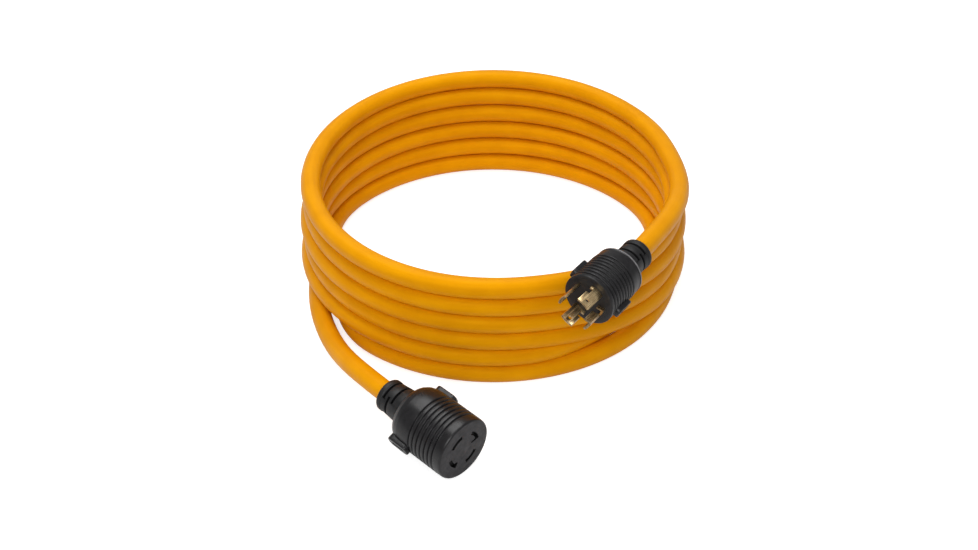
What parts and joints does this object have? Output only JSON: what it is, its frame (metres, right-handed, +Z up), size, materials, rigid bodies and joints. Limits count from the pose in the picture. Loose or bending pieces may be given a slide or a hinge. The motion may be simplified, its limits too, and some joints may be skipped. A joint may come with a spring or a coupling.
{
  "type": "shore power cord",
  "caption": "Coiled round power cord with a yellow-orange jacket, a black moulded locking plug with curved brass blades at one end and a matching locking connector at the other.",
  "frame": {"origin": "middle of the coil, on the surface that it lies on", "axes": "+Z is up out of the coil, +X is to the right seen from the front, and -Y is the front, where the plug and the connector lie"},
  "size_m": [0.3503, 0.466, 0.1305],
  "materials": {
    "jacket": "smooth extruded jacket with a soft satin sheen",
    "moulding": "satin black moulded housing",
    "relief": "flexible matte black sleeve",
    "face_insert": "fine-grained dark face",
    "blade_brass": "stamped, lightly brushed",
    "contact_brass": "stamped spring contact",
    "insulation_black": "extruded core insulation",
    "insulation_red": "extruded core insulation",
    "insulation_white": "extruded core insulation",
    "insulation_green": "extruded core insulation"
  },
  "bodies": {
    "root": {"plug_housing": "moulding", "plug_insert": "face_insert", "plug_strain_relief": "relief", "connector_housing": "moulding", "connector_insert": "face_insert", "connector_strain_relief": "relief", "cord_coil": "jacket", "cord_plug_lead": "jacket", "cord_connector_lead": "jacket", "plug_blade_hot_x": "blade_brass", "plug_conductor_hot_x": "insulation_black", "connector_contact_hot_x": "contact_brass", "connector_conductor_hot_x": "insulation_black", "plug_blade_hot_y": "blade_brass", "plug_conductor_hot_y": "insulation_red", "connector_contact_hot_y": "contact_brass", "connector_conductor_hot_y": "insulation_red", "plug_blade_neutral": "blade_brass", "plug_conductor_neutral": "insulation_white", "connector_contact_neutral": "contact_brass", "connector_conductor_neutral": "insulation_white", "plug_blade_earth": "blade_brass", "plug_conductor_earth": "insulation_green", "connector_contact_earth": "contact_brass", "connector_conductor_earth": "insulation_green"}
  },
  "joints": []
}
